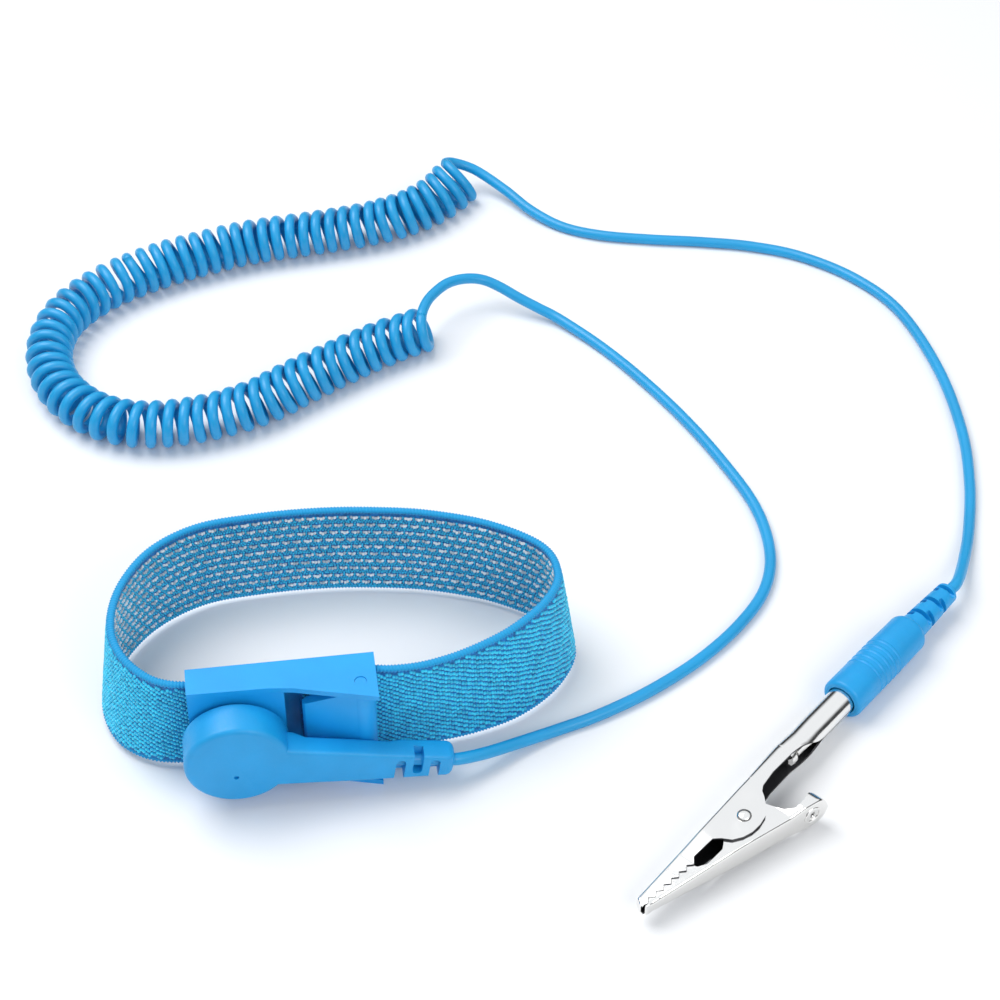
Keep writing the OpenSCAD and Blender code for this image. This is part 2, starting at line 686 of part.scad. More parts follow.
module clip_spring() {
    wire_r = 0.28;
    r = 1.5;
    pitch = 0.75;
    first = 130;
    last = 130 + 360 * 3 + 155;
    helix = [for (a = [first : 24 : last])
        plug_point(rivet_u + r * cos(a), rivet_v + r * sin(a), (a - first) / 360 * pitch - 1.2)];
    end = helix[len(helix) - 1];
    // one leg under the upper jaw's spine, the other on the lower jaw's web
    leg_up = [plug_point(rivet_u + 8.2, -0.35, -1.2), plug_point(rivet_u + 3, 0.1, -1.2)];
    leg_down = [plug_point(rivet_u + 3.4, rivet_v - 3.9, 1.35),
                plug_point(rivet_u + 7.2, rivet_v - 5.4, 1.35)];
    color("DarkGray") cord_along(concat(leg_up, helix, leg_down), wire_r, 6);
}

elastic_band();
buckle_body();
buckle_lever();
contact_plate();
snap_stud();
stud_rivet();
snap_cover();
inner_mould();
snap_socket();
socket_spring();
resistor_body();
resistor_bands();
resistor_leads();
heat_shrink();
splice_sleeve();
snap_lead_core();
snap_lead();
coil();
plug_lead();
plug_lead_core();
plug_grip();
plug_crimp();
plug_pin();
plug_spring();
clip_upper_jaw();
clip_rivet();
clip_spring();
clip_lower_jaw();
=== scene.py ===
"""Looks of the anti-static wrist strap, on the frame its CAD model gives. Lengths are in millimetres
until a mesh is made; X runs along the buckle towards its lever, Y towards the wrist, Z up."""

import math

import bmesh
import bpy
import numpy as np
from mathutils import Matrix, Vector


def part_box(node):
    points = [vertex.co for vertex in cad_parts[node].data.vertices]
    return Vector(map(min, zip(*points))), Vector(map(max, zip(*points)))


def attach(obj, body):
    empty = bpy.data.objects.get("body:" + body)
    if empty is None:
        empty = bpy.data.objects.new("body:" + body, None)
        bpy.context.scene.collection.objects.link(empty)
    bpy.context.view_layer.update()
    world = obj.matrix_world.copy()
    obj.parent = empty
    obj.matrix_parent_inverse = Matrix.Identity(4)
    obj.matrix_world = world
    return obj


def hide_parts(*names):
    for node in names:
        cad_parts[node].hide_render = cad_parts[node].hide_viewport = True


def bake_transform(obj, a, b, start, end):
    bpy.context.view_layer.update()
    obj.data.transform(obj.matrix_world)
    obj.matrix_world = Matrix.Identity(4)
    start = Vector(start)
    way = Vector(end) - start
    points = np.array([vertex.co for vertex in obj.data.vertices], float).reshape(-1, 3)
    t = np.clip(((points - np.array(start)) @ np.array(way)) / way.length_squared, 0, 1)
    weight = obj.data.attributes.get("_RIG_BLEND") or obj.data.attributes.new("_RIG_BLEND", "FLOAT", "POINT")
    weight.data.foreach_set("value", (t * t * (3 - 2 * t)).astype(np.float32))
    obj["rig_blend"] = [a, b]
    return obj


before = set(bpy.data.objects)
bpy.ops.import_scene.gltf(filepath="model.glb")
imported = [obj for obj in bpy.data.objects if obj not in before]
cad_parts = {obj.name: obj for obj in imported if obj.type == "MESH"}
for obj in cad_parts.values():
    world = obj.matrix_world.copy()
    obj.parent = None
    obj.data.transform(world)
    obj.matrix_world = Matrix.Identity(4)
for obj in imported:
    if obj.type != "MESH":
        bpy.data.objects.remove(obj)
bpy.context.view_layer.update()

MM = 0.001
rng = np.random.default_rng(7)


def box_mm(node):
    """Lowest and highest corner of a CAD node in millimetres."""
    lo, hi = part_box(node)
    return np.array(lo) / MM, np.array(hi) / MM


# ---- driving places, from the frame ----

buckle_lo, buckle_hi = box_mm("buckle_body")
buckle_h = buckle_hi[2]
axis_z = buckle_h / 2
head_droop = math.radians(8.5)
head_back = 6.9
head_front = 13.3
head_r = 9.1
neck_z = -0.6
neck_y = -11.1
neck_end = 37.4
cord_r = 1.1
clip_tip = np.array([63.3, -45.7])
clip_turn = math.radians(42.5)
plug_z = 4.05
rivet_u, rivet_v = 24.9, -3.4
grip_u0, grip_u1, relief_u1 = 59.3, 81.6, 94.3
barrel_r = 2.6
sheet = 0.4


# ---- curves, sweeps and meshes ----

def curve(points, steps):
    """Smooth curve through the points; the first and last only steer its ends."""
    p = np.array(points, float)
    out = []
    for a, b, c, d in zip(p, p[1:], p[2:], p[3:]):
        for t in np.arange(steps) / steps:
            out.append(0.5 * (2 * b + (c - a) * t + (2 * a - 5 * b + 4 * c - d) * t * t
                              + (3 * b - a - 3 * c + d) * t ** 3))
    out.append(p[-2])
    return np.array(out)


def unit(v):
    """Vectors scaled to length one."""
    v = np.asarray(v, float)
    return v / np.linalg.norm(v, axis=-1, keepdims=True)


def running(path):
    """Length along a path up to each of its points."""
    steps = np.linalg.norm(np.diff(path, axis=0), axis=1)
    return np.concatenate([[0], np.cumsum(steps)])


def resample(path, step):
    """The same path with points at an even distance."""
    s = running(path)
    n = max(2, int(round(s[-1] / step)) + 1)
    at = np.linspace(0, s[-1], n)
    return np.stack([np.interp(at, s, path[:, k]) for k in range(path.shape[1])], axis=1)


def tangents(path):
    """Direction of a path at each of its points."""
    return unit(np.gradient(path, axis=0))


def ease(t):
    """Smooth step from 0 to 1."""
    t = np.clip(t, 0, 1)
    return t * t * (3 - 2 * t)


def loft(rings, wrap=False):
    """Points and faces of the skin through equal rings, given as one array."""
    rings = np.asarray(rings, float)
    m, n = rings.shape[:2]
    i = np.arange(m if wrap else m - 1)[:, None]
    k = np.arange(n)[None, :]
    j = (i + 1) % m
    quads = np.stack([i * n + k, i * n + (k + 1) % n, j * n + (k + 1) % n, j * n + k], axis=-1)
    faces = quads.reshape(-1, 4).tolist()
    if not wrap:
        faces.append(list(range(n - 1, -1, -1)))
        faces.append([(m - 1) * n + q for q in range(n)])
    return rings.reshape(-1, 3), faces


def rings_along(path, outline_a, outline_b, up=(0, 0, 1), first=None, last=None):
    """Rings of an outline carried along a path; outlines may change from ring to ring."""
    t = tangents(path)
    if first is not None:
        t[0] = unit(first)
    if last is not None:
        t[-1] = unit(last)
    a = unit(np.cross(t, np.broadcast_to(np.asarray(up, float), t.shape)))
    b = np.cross(a, t)
    return path[:, None, :] + a[:, None, :] * outline_a[..., None] + b[:, None, :] * outline_b[..., None]


def tube(path, radius, sides=16, up=(0, 0, 1), **ends):
    """Round cord along a path. The radius is a number or one value per point."""
    radius = np.broadcast_to(np.asarray(radius, float), (len(path),))
    angle = np.arange(sides) * 2 * math.pi / sides
    rings = rings_along(path, radius[:, None] * np.cos(angle), radius[:, None] * np.sin(angle), up, **ends)
    return loft(rings)


def revolve(outline, sides=64):
    """Solid turned about local X; the outline gives x and radius from one end to the other."""
    angle = np.arange(sides) * 2 * math.pi / sides
    rings = [[(x, r * math.cos(a), r * math.sin(a)) for a in angle] for x, r in outline]
    return loft(rings)


def prism(outline, lo, hi):
    """Outline in local X and Y, extruded along Z."""
    n = len(outline)
    points = [(x, y, z) for z in (lo, hi) for x, y in outline]
    faces = [[k, (k + 1) % n, n + (k + 1) % n, n + k] for k in range(n)]
    faces += [list(range(n - 1, -1, -1)), list(range(n, 2 * n))]
    return np.array(points, float), faces


def moved(part, matrix):
    """A (points, faces) pair carried by a 4x4 matrix."""
    m = np.array(matrix)
    return part[0] @ m[:3, :3].T + m[:3, 3], part[1]


def rounded_rect(half_a, half_b, r, per_corner=5):
    """Outline of a rectangle with round corners, centred on zero."""
    r = min(r, half_a * 0.999, half_b * 0.999)
    out = []
    for ca, cb, start in ((1, 1, 0), (-1, 1, 90), (-1, -1, 180), (1, -1, 270)):
        for k in range(per_corner):
            a = math.radians(start + 90 * k / (per_corner - 1))
            out.append((ca * (half_a - r) + r * math.cos(a), cb * (half_b - r) + r * math.sin(a)))
    return np.array(out)


def to_mesh(name, part, materials, smooth=40, faces_of=None):
    """A mesh object from points in millimetres. Edges sharper than smooth degrees stay sharp."""
    mesh = bpy.data.meshes.new(name)
    mesh.from_pydata((np.asarray(part[0]) * MM).tolist(), [], part[1])
    for m in materials:
        mesh.materials.append(m)
    if faces_of is not None:
        mesh.polygons.foreach_set("material_index", np.asarray(faces_of, np.int32))
    mesh.polygons.foreach_set("use_smooth", np.ones(len(mesh.polygons), bool))
    mesh.update()
    bm = bmesh.new()
    bm.from_mesh(mesh)
    bmesh.ops.recalc_face_normals(bm, faces=bm.faces)
    bm.to_mesh(mesh)
    bm.free()
    if smooth:
        mesh.set_sharp_from_angle(angle=math.radians(smooth))
    obj = bpy.data.objects.new(name, mesh)
    bpy.context.scene.collection.objects.link(obj)
    return obj


def cut(obj, tool, kind="DIFFERENCE"):
    """Boolean of two mesh objects, applied; the tool is removed."""
    mod = obj.modifiers.new("cut", "BOOLEAN")
    mod.operation = kind
    mod.solver = "EXACT"
    mod.object = tool
    settle(obj)
    bpy.data.objects.remove(tool)
    return obj


def settle(obj):
    """Applies all modifiers of an object to its mesh."""
    graph = bpy.context.evaluated_depsgraph_get()
    graph.update()
    mesh = bpy.data.meshes.new_from_object(obj.evaluated_get(graph), depsgraph=graph)
    obj.modifiers.clear()
    old = obj.data
    obj.data = mesh
    bpy.data.meshes.remove(old)


def soften(obj, width, segments=3, angle=35):
    """Rounds the object's sharp edges."""
    bevel = obj.modifiers.new("soft_edges", "BEVEL")
    bevel.width = width * MM
    bevel.segments = segments
    bevel.limit_method = "ANGLE"
    bevel.angle_limit = math.radians(angle)
    bevel.harden_normals = True
    obj.data.polygons.foreach_set("use_smooth", np.ones(len(obj.data.polygons), bool))


def finish_piece(obj, body, slot, *nodes):
    """Puts a piece on its body and hides the CAD nodes it stands for."""
    if body is not None:
        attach(obj, body)
    if nodes:
        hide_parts(*nodes)
    return obj


# ---- materials ----

class Look:
    """A Principled material with object-space coordinates for its patterns."""

    def __init__(self, name, colour, roughness, metallic=0.0):
        self.material = bpy.data.materials.new(name)
        self.material.use_nodes = True
        self.tree = self.material.node_tree
        self.shader = self.tree.nodes["Principled BSDF"]
        self.shader.inputs["Base Color"].default_value = (*colour, 1)
        self.shader.inputs["Roughness"].default_value = roughness
        self.shader.inputs["Metallic"].default_value = metallic
        self.coords = self.tree.nodes.new("ShaderNodeTexCoord").outputs["Object"]
        self.normal = None

    def link(self, a, b):
        self.tree.links.new(a, b)

    def node(self, kind, **inputs):
        n = self.tree.nodes.new(kind)
        for key, value in inputs.items():
            n.inputs[key.replace("_", " ")].default_value = value
        return n

    def noise(self, per_mm, detail=3.0, distortion=0.0):
        n = self.node("ShaderNodeTexNoise", Scale=per_mm / MM, Detail=detail, Distortion=distortion)
        self.link(self.coords, n.inputs["Vector"])
        return n.outputs["Fac"]

    def ramp(self, fac, low, high, start=0.3, end=0.7):
        n = self.tree.nodes.new("ShaderNodeValToRGB")
        n.color_ramp.elements[0].position = start
        n.color_ramp.elements[1].position = end
        n.color_ramp.elements[0].color = (*low, 1) if isinstance(low, tuple) else (low, low, low, 1)
        n.color_ramp.elements[1].color = (*high, 1) if isinstance(high, tuple) else (high, high, high, 1)
        self.link(fac, n.inputs["Fac"])
        return n.outputs["Color"]

    def colour(self, fac, low, high, start=0.3, end=0.7):
        self.link(self.ramp(fac, low, high, start, end), self.shader.inputs["Base Color"])

    def rough(self, fac, low, high):
        self.link(self.ramp(fac, low, high), self.shader.inputs["Roughness"])

    def bump(self, fac, depth_mm, strength=1.0):
        n = self.node("ShaderNodeBump", Strength=strength, Distance=depth_mm * MM)
        self.link(fac, n.inputs["Height"])
        if self.normal is not None:
            self.link(self.normal, n.inputs["Normal"])
        self.normal = n.outputs["Normal"]
        self.link(self.normal, self.shader.inputs["Normal"])

    def set(self, **inputs):
        for key, value in inputs.items():
            self.shader.inputs[key.replace("_", " ")].default_value = value
        return self


def shade(colour, k):
    """A colour made lighter or darker by a factor."""
    return tuple(min(1.0, c * k) for c in colour)


CYAN = (0.008, 0.325, 0.66)
YARN = (0.040, 0.62, 0.92)
# the strap's blue darkened for the knit ground: painted shade in the gaps between the raised stitches
GAP_SHADE_BLUE = (0.004, 0.13, 0.36)


def plastic_look(name, colour, roughness, grain):
    """Moulded plastic: faint mottling, fine grain and a little depth under the surface."""
    look = Look(name, colour, roughness)
    look.colour(look.noise(0.12), shade(colour, 0.93), shade(colour, 1.05))
    fine = look.noise(2.5, detail=2)
    look.rough(fine, roughness - 0.06, roughness + 0.08)
    look.bump(fine, grain)
    look.set(Subsurface_Weight=0.06, Subsurface_Scale=0.5 * MM, IOR=1.48)
    return look.material


def cord_look():
    """Extruded jacket: smooth, with the slight waviness of a drawn cord."""
    look = Look("cord_jacket", CYAN, 0.36)
    look.colour(look.noise(0.08), shade(CYAN, 0.95), shade(CYAN, 1.05))
    look.rough(look.noise(1.2), 0.3, 0.42)
    look.bump(look.noise(0.7), 0.02)
    look.set(Subsurface_Weight=0.05, Subsurface_Scale=0.4 * MM, IOR=1.5)
    return look.material


def yarn_look(name, colour, roughness=0.62):
    """Fine textured yarn: soft, with a light sheen."""
    look = Look(name, colour, roughness)
    look.set(Sheen_Weight=0.25, Sheen_Roughness=0.4, Specular_IOR_Level=0.35)
    return look.material


def ground_look():
    """The dense knit between the raised stitches: the strap's blue, darkened to paint the shade in the gaps,
    with random mottling.
    """
    look = Look("knit_ground", GAP_SHADE_BLUE, 0.75)
    look.colour(look.noise(1.6, detail=4), shade(GAP_SHADE_BLUE, 0.7), shade(GAP_SHADE_BLUE, 1.7))
    look.bump(look.noise(3.0, detail=2), 0.08)
    look.set(Sheen_Weight=0.2, Specular_IOR_Level=0.3)
    return look.material


def nickel_look():
    """Bright nickel plate with faint handling marks."""
    look = Look("nickel", (0.83, 0.82, 0.80), 0.12, metallic=1.0)
    look.rough(look.noise(0.35, detail=6), 0.08, 0.2)
    look.bump(look.noise(0.5, detail=2), 0.01)
    return look.material


def steel_look():
    """Stainless plate and spring wire, finely brushed."""
    look = Look("steel", (0.62, 0.62, 0.63), 0.28, metallic=1.0)
    look.rough(look.noise(2.0, detail=5), 0.22, 0.38)
    look.bump(look.noise(4.0, detail=2), 0.01)
    return look.material


def simple_look(name, colour, roughness, metallic=0.0, grain=0.01):
    """Small inner pieces: their colour with slight mottling and grain."""
    look = Look(name, colour, roughness, metallic)
    look.colour(look.noise(0.8), shade(colour, 0.85), shade(colour, 1.1))
    look.bump(look.noise(3.0), grain)
    return look.material


buckle_plastic = plastic_look("buckle_plastic", (0.006, 0.345, 0.80), 0.38, 0.012)
soft_plastic = plastic_look("soft_plastic", (0.006, 0.33, 0.72), 0.42, 0.015)
jacket = cord_look()
knit_ground = ground_look()
yarns = [yarn_look("yarn_%d" % k, shade(YARN, f)) for k, f in enumerate((0.86, 1.0, 1.16))]
edge_yarn = yarn_look("edge_yarn", CYAN)
silver_yarn = yarn_look("silver_yarn", (0.86, 0.91, 0.94), 0.5)
dull_silver_yarn = yarn_look("dull_silver_yarn", (0.52, 0.60, 0.66), 0.5)
nickel = nickel_look()
# near-black nickel for the inner faces of the folded jaws: painted shade inside the fold, where the real plate
# is bright
shaded_nickel = simple_look("shaded_nickel", (0.045, 0.045, 0.05), 0.5, metallic=0.6)
steel = steel_look()
black_plastic = simple_look("black_plastic", (0.02, 0.02, 0.022), 0.5)
tinned = simple_look("tinned", (0.7, 0.7, 0.69), 0.3, metallic=1.0)
copper = simple_look("copper", (0.78, 0.38, 0.2), 0.3, metallic=1.0)
resistor_coat = simple_look("resistor_coat", (0.62, 0.5, 0.3), 0.35)
resistor_paint = simple_look("resistor_paint", (0.12, 0.04, 0.02), 0.35)


# ---- elastic band ----

band_half = 10.3
band_t = 1.6
side_lean = 1.5
band_y = -2.3
band_line = [
    (9, band_y), (5.8, band_y), (-1, band_y), (-7.6, band_y), (-14.3, -0.3), (-19.4, 5),
    (-21.4, 13), (-19.2, 22), (-13.3, 30.4), (-4.3, 35.6), (7, 37), (18, 37), (28, 35.9),
    (38, 33.8), (49, 29.4), (57.8, 22.6), (60.4, 15.3), (57, 8.3), (50, 2.4), (42, -1.1),
    (34, -2.9), (27.5, -3.1), (22.5, band_y), (17, band_y), (11.5, band_y), (9, band_y)]
band_path = resample(curve(band_line, 24), 0.1)
band_run = running(band_path)
band_len = band_run[-1]


def band_lean(x, y, out_y):
    """How far the band's lower edge stands out there: most at the two sides of the wrist."""
    left = ease((buckle_lo[0] - 1 - x) / 12)
    share = np.maximum(np.maximum(ease((y + 1) / 10), left), ease((x - 29) / 26))
    return side_lean * share * (1 - ease(out_y))


def on_band(s, v, h):
    """Points on the band: s along it, v up from its middle, h out from its middle surface."""
    s, v, h = np.broadcast_arrays(s, v, h)
    d = tangents(band_path)
    x = np.interp(s, band_run, band_path[:, 0])
    y = np.interp(s, band_run, band_path[:, 1])
    dx = np.interp(s, band_run, d[:, 0])
    dy = np.interp(s, band_run, d[:, 1])
    lean = band_lean(x, y, dx) * v / band_half
    out = h - lean
    return np.stack([x - dy * out, y + dx * out, axis_z + v], axis=-1)


def band_ground():
    """The strip's body: a flat section with slightly ribbed faces, carried round the loop."""
    s = np.linspace(0, band_len, int(band_len / 0.45))
    rows = np.linspace(-band_half + 0.5, band_half - 0.5, 40)
    out = 0.5 * band_t - 0.3
    outer = np.stack([rows, np.full_like(rows, out)], axis=1)
    inner = np.stack([rows[::-1], np.full_like(rows, -out)], axis=1)
    section = np.concatenate([outer, inner])
    wave = 0.03 * np.sin(s[:, None] * 2.9 + section[None, :, 0] * 5)
    face_side = np.sign(section[None, :, 1])
    rings = on_band(s[:, None], section[None, :, 0], section[None, :, 1] + wave * face_side)
    obj = to_mesh("band_ground", loft(rings), [knit_ground], smooth=0)
    return finish_piece(obj, "wristband", "band_knit", "elastic_band")


def lumps(s, v, h, length, width, height, tilt, side):
    """Small rounded stitches on the band's face; all arguments but side are arrays."""
    n = 6
    a = np.arange(n) * 2 * math.pi / n
    base = np.stack([np.cos(a), np.sin(a), np.zeros(n)], axis=1)
    mid = np.stack([0.62 * np.cos(a), 0.62 * np.sin(a), np.full(n, 1.0)], axis=1)
    shape = np.concatenate([base, mid])
    lx = shape[None, :, 0] * length[:, None] / 2
    ly = shape[None, :, 1] * width[:, None] / 2
    ds = lx * np.cos(tilt)[:, None] - ly * np.sin(tilt)[:, None]
    dv = lx * np.sin(tilt)[:, None] + ly * np.cos(tilt)[:, None]
    dh = shape[None, :, 2] * height[:, None]
    points = on_band(s[:, None] + ds, v[:, None] + dv, side * (h[:, None] + dh))
    faces = [[k, (k + 1) % n, n + (k + 1) % n, n + k] for k in range(n)]
    faces += [list(range(n - 1, -1, -1)), list(range(n, 2 * n))]
    count = len(s)
    all_faces = []
    for f in faces:
        block = np.arange(count)[:, None] * (2 * n) + np.array(f)[None, :]
        all_faces += block.tolist()
    per_face = np.tile(np.arange(count), len(faces))
    return (points.reshape(-1, 3), all_faces), per_face


def band_face():
    """Raised stitches of the outer face, in slanting wavy rows."""
    pitch_s, pitch_v, slant = 0.5, 1.05, math.radians(27)
    limit = band_half - 1.25
    s = np.arange(0.4, band_len - 0.3, pitch_s)
    k = np.arange(-6, 30)
    ss, kk = np.meshgrid(s, k, indexing="ij")
    phase = np.mod(ss * math.tan(slant), pitch_v)
    vv = -limit - 2 * pitch_v + kk * pitch_v + phase
    weave = np.where(np.round(ss / pitch_s) % 2 == 0, 0.055, -0.055)
    vv = vv + weave + 0.1 * np.sin(ss * 1.1 + 0.7 * kk)
    keep = (vv > -limit) & (vv < limit)
    s, v = ss[keep], vv[keep]
    n = len(s)
    jitter = rng.normal(0, 1, (5, n))
    part, owner = lumps(
        s + 0.03 * jitter[0], v + 0.03 * jitter[1], np.full(n, 0.5 * band_t - 0.36),
        0.8 + 0.04 * jitter[2], 0.74 + 0.03 * jitter[3], 0.36 + 0.025 * jitter[4],
        np.full(n, slant * 0.8) + 0.08 * jitter[1], 1)
    tone = rng.choice(3, n, p=(0.25, 0.45, 0.3))
    obj = to_mesh("band_outer_stitches", part, yarns, smooth=0, faces_of=tone[owner])
    return finish_piece(obj, "wristband", "band_knit")


def band_inside():
    """Inner face: rows of silver conductive stitches with blue yarn between them."""
    rows, period, pitch = 10, 2.0, 1.86
    s0 = np.arange(1, band_len - 1, period)
    n = len(s0)
    lift = 0.5 * band_t - 0.36
    silver_tones = (3, 4)
    # place along the row and up, length, width, height, tilt, tones of each lump of the repeat
    stitch = [(-0.6, 0.02, 0.72, 0.62, 0.34, -0.55, silver_tones),
              (-0.12, -0.12, 0.8, 0.72, 0.4, -0.15, silver_tones),
              (0.38, 0.02, 0.76, 0.64, 0.36, 0.5, silver_tones),
              (0.86, 0.16, 0.46, 0.5, 0.3, 0.9, (0, 1)),
              (0.95, -0.3, 0.4, 0.42, 0.26, 0.3, (0, 0))]
    stitch += [(step, drop, 0.5, 0.46, 0.24, -0.5, (0, 1))
               for step, drop in ((-0.75, -0.62), (-0.25, -0.7), (0.25, -0.62), (0.7, -0.7),
                                  (-0.5, -1.1), (0.0, -1.16), (0.5, -1.1), (1.0, -1.16))]
    base = 0
    points, faces, slots = [], [], []
    for row in range(rows):
        v_row = (row - (rows - 1) / 2) * pitch
        shift = 0.93 * row
        for step, up, length, width, height, tilt, tones in stitch:
            j = rng.normal(0, 1, (5, n))
            part, owner = lumps(
                s0 + shift + step + 0.05 * j[0], v_row + up + 0.04 * j[1], np.full(n, lift),
                length + 0.05 * j[2], width + 0.04 * j[3], np.full(n, height), tilt + 0.12 * j[4], -1)
            tone = rng.choice(tones, n)
            points.append(part[0])
            faces += [[q + base for q in f] for f in part[1]]
            slots.append(tone[owner])
            base += len(part[0])
    obj = to_mesh("band_inner_stitches", (np.concatenate(points), faces),
                  yarns + [silver_yarn, dull_silver_yarn], smooth=0, faces_of=np.concatenate(slots))
    return finish_piece(obj, "wristband", "band_knit")


def band_welts():
    """Rolled edges, bound by yarn that wraps round them."""
    wrap = 0.6
    s = np.arange(0, band_len, wrap / 5)
    sides = 12
    angle = np.arange(sides) * 2 * math.pi / sides
    for name, end in (("upper", 1), ("lower", -1)):
        rib = 1 + 0.16 * np.cos(2 * math.pi * s / wrap)
        a = 0.68 * np.cos(angle)
        b = 0.5 * np.sin(angle)
        v = end * (band_half - 0.58) + rib[:, None] * b[None, :]
        h = rib[:, None] * a[None, :]
        rings = on_band(s[:, None], np.clip(v, -band_half, band_half), h)
        obj = to_mesh("band_welt_" + name, loft(rings), [edge_yarn], smooth=0)
        finish_piece(obj, "wristband", "band_knit")


band_ground()
band_face()
band_inside()
band_welts()


# ---- cord ----

coil_r = 3.75
coil_z = 4.85
coil_turns = 66
coil_sides, coil_step = 12, 12.0
coil_start, coil_stop = 8.0, 360.0 * coil_turns + 20
coil_line = [
    (51, 108.7), (45.4, 105.4), (37.2, 102.2), (27.5, 97.4), (17.9, 91.9), (8.6, 86.5),
    (-0.7, 83.6), (-9.7, 82.7), (-17, 83.8), (-23.5, 87.3), (-28.6, 92.9), (-31.6, 99.4),
    (-32.6, 106.5), (-31.5, 113.8), (-28.3, 120.2), (-22.8, 125.8), (-16.7, 129.8), (-8.2, 133.7),
    (0, 136.3), (9, 138.6), (18, 139.7), (27, 140.6), (37, 142.1), (46, 145.1), (52.6, 149.6),
    (58.1, 156), (62.5, 161.6)]
coil_path = curve(coil_line, 8)
coil_run = running(coil_path)
turn_share = np.array([(0, 0), (0.3, 0.305), (0.61, 0.593), (0.95, 0.955), (1, 1)])
# along the coil: how far the turns are swung round from square, in degrees, and how far they lean
turn_swing = np.array([(0, -32), (0.2, -24), (0.31, 0), (0.72, 0), (0.88, -14), (1, -20)])
turn_lean = np.array([
    (0, 0.35), (0.06, 0.42), (0.15, 0.5), (0.19, 0.42), (0.24, 0.22), (0.3, 0.05), (0.5, 0),
    (0.58, 0.12), (0.66, 0.33), (0.72, 0.2), (0.82, 0.22), (0.88, 0.32), (0.94, 0.5), (1, 0.7)])


def on_coil_line(s):
    """Points of the coil's middle line at distance s along it."""
    x = np.interp(s, coil_run, coil_path[:, 0])
    y = np.interp(s, coil_run, coil_path[:, 1])
    return np.stack([x, y, np.full_like(x, coil_z)], axis=-1)


def coil_place(angle):
    """Distance along the coil's middle line after turning through an angle in degrees."""
    share = (angle - coil_start) / (coil_stop - coil_start)
    return np.interp(share, turn_share[:, 1], turn_share[:, 0]) * coil_run[-1]


def coil_points(angle):
    """The left-handed helix, with its way along at each point."""
    angle = np.asarray(angle, float)
    s = coil_place(angle)
    t = unit(on_coil_line(s + 1.5) - on_coil_line(s - 1.5))
    share = s / coil_run[-1]
    swing = np.radians(np.interp(share, turn_swing[:, 0], turn_swing[:, 1]))
    lean = np.interp(share, turn_lean[:, 0], turn_lean[:, 1])
    face = np.stack([t[:, 0] * np.cos(swing) - t[:, 1] * np.sin(swing),
                     t[:, 0] * np.sin(swing) + t[:, 1] * np.cos(swing), np.zeros_like(s)], axis=1)
    n = np.cross(face, (0, 0, 1))
    up = np.stack([-lean, np.zeros_like(s), np.ones_like(s)], axis=1)
    a = np.radians(angle)[:, None]
    return on_coil_line(s) + coil_r * (np.cos(a) * up - np.sin(a) * n), face


def loosened(points, way, angle):
    """Turns that lean and shift a little from their neighbours, but not at the coil's ends."""
    turn = angle / 360
    calm = ease(turn / 2) * ease((coil_turns - turn) / 2)
    lean = 0.07 * np.sin(turn * 2.3) + 0.05 * np.sin(turn * 5.1 + 1) + 0.05 * np.sin(turn * 0.61)
    height = points[:, 2] - coil_z
    return points + way * (calm * lean * height * 0.5)[:, None]


def coil_piece(name, from_angle, to_angle):
    """One stretch of the coil as a round cord."""
    angle = np.arange(from_angle, to_angle + 0.01, coil_step)
    angle[-1] = to_angle
    points, way = coil_points(angle)
    points = loosened(points, way, angle)
    return to_mesh(name, tube(points, cord_r, coil_sides, up=way), [jacket], smooth=0)


def share_by_ring(cord):
    """Gives each ring of a blended cord one share of the motion, so that the cord stays round."""
    share = np.linspace(0, 1, len(cord.data.vertices) // coil_sides)
    stored = cord.data.attributes["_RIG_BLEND"].data
    stored.foreach_set("value", np.repeat(share, coil_sides).astype(np.float32))


def coil():
    """The lower run stays with the head; the upper run, past the bend, stretches to the plug."""
    middle = 360.0 * 40
    lower_run = coil_piece("coil_lower_run", coil_start, middle)
    finish_piece(lower_run, "cord_head", "cord_jacket", "coil")
    upper_run = coil_piece("coil_upper_run", middle, coil_stop)
    finish_piece(upper_run, None, "cord_jacket", "coil")
    run_from = on_coil_line(coil_place(middle))
    run_to = on_coil_line(coil_run[-1])
    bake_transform(upper_run, "cord_head", "plug", start=tuple(run_from * MM),
             end=(run_to[0] * MM, run_from[1] * MM, run_from[2] * MM))
    share_by_ring(upper_run)


def head_point(x, y, z):
    """A point of the drooping snap head, given in its own frame."""
    c, s = math.cos(head_droop), math.sin(head_droop)
    return (x * c + z * s, y, axis_z - x * s + z * c)


def plug_point(u, v=0.0, w=0.0):
    """A point of the plug and clip: u along it from the clip's tip, v and w across it."""
    c, s = math.cos(clip_turn), math.sin(clip_turn)
    return (clip_tip[0] + u * c - v * s, clip_tip[1] + u * s + v * c, plug_z + w)


def snap_lead():
    """Straight cord from inside the head to the coil's first turn."""
    start, _ = coil_points(np.array([coil_start, coil_start + 40]))
    path = [head_point(x, neck_y, neck_z) for x in (20, 23.8, 27, 30.5, 34, 36.5, 38.6)]
    path += [(43, -9.3, 3.9), (49.5, -6.2, 2.2), (57, -3.2, cord_r), (64.5, -0.8, cord_r),
             (74.3, 3.6, cord_r), (84.6, 9.9, cord_r), (93.5, 17.5, cord_r), (100, 25.8, cord_r),
             (103.1, 35.5, cord_r), (102.8, 48, cord_r), (98.8, 62, cord_r), (93.5, 75.5, cord_r),
             (87, 88.6, cord_r), (80.6, 99.3, cord_r),
             (73.5, 108, 1.8), (69, 111.2, 3), (65.3, 113.4, 4.3), (61.8, 115.7, 5.6),
             (58.3, 117.1, 6.8), (54.5, 116.6, 7.9), (50.6, 114.6, 8.7), (47.3, 111.1, 9.1),
             (45.3, 108.2, 9)]
    path += [tuple(p) for p in start]
    line = curve(path, 10)
    obj = to_mesh("snap_lead_cord", tube(line, cord_r, 18, last=start[1] - start[0]), [jacket], smooth=60)
    finish_piece(obj, "cord_head", "cord_jacket", "snap_lead")


